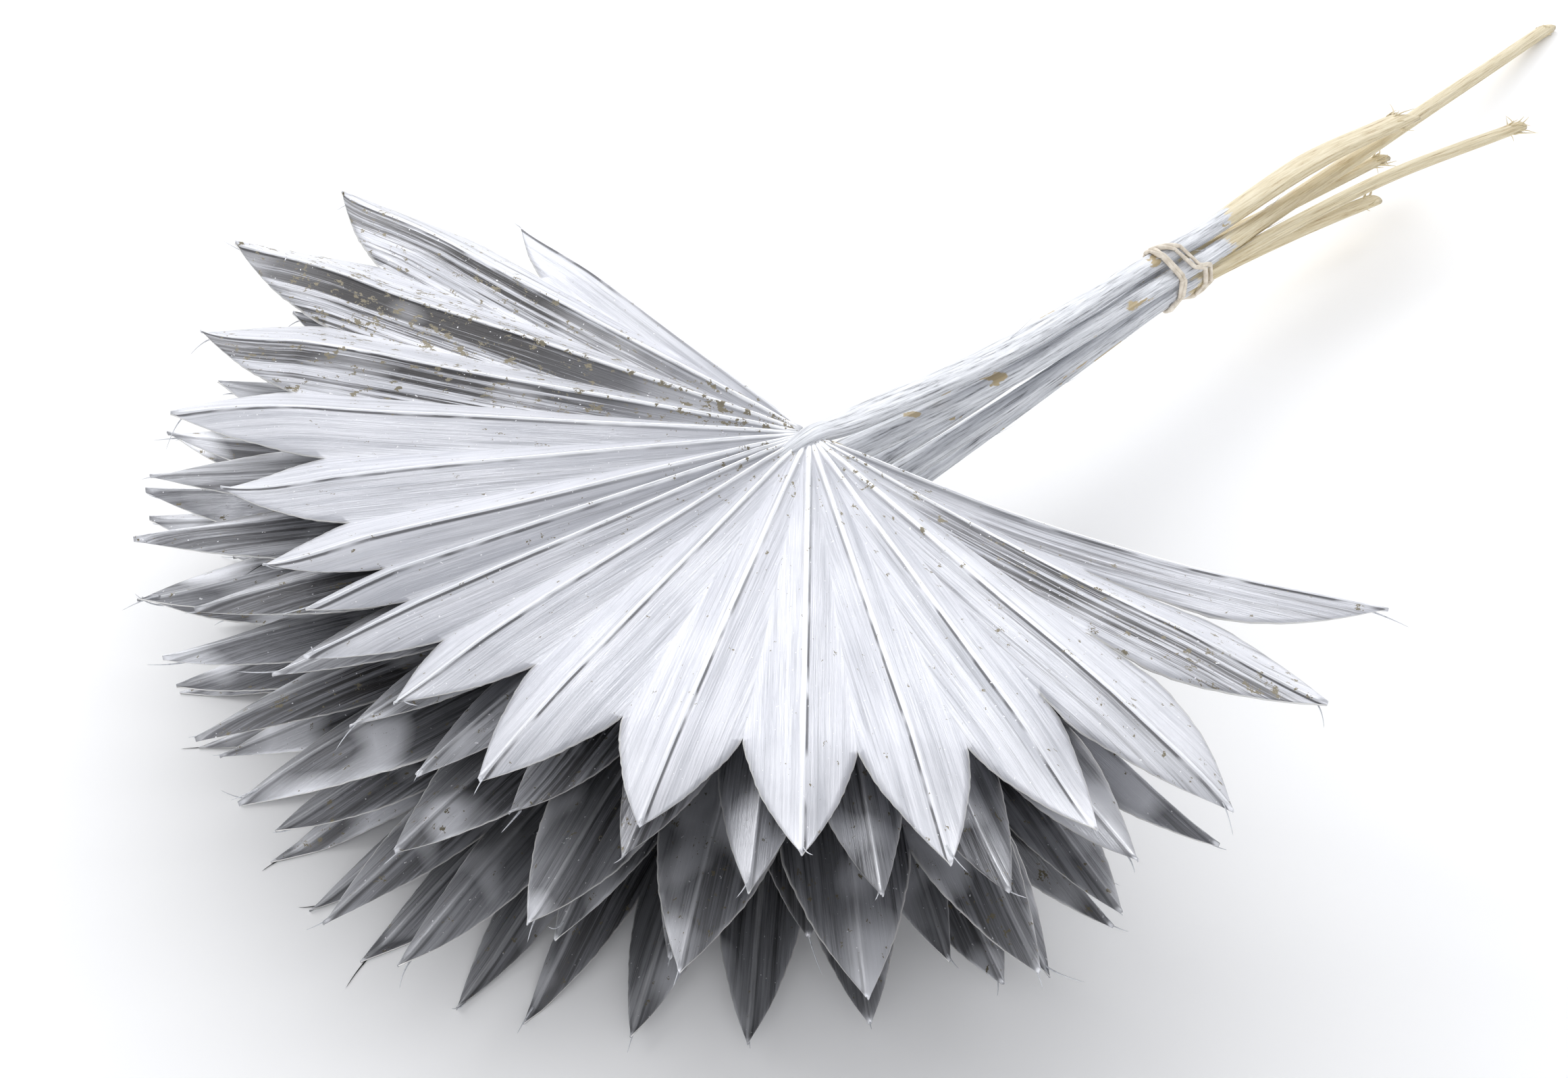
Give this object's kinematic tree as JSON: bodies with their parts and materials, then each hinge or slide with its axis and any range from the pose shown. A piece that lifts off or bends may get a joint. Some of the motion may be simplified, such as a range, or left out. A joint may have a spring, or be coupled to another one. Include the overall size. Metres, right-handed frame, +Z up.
{
  "type": "bunch of dried fan palm leaves",
  "caption": "Dried, silver-painted fan palm leaves stacked and tied at their stems with a rubber band, lying on a surface, for displays and flower arrangements.",
  "frame": {"origin": "centre of the bounding box at its bottom, on the surface that the bunch lies on", "axes": "+Z up; the stems run away to +X and +Y and the fans open to -X and -Y; +Y is the longest extent and +Z the shortest"},
  "size_m": [0.4904, 0.5414, 0.0771],
  "materials": {
    "silver_painted_leaf": "satin silver paint on dried palm leaf; bare straw-coloured stem ends",
    "natural_rubber": "matt"
  },
  "bodies": {
    "root": {"leaf_1": "silver_painted_leaf", "leaf_2": "silver_painted_leaf", "leaf_3": "silver_painted_leaf", "leaf_4": "silver_painted_leaf", "leaf_5": "silver_painted_leaf", "rubber_band": "natural_rubber"}
  },
  "joints": []
}
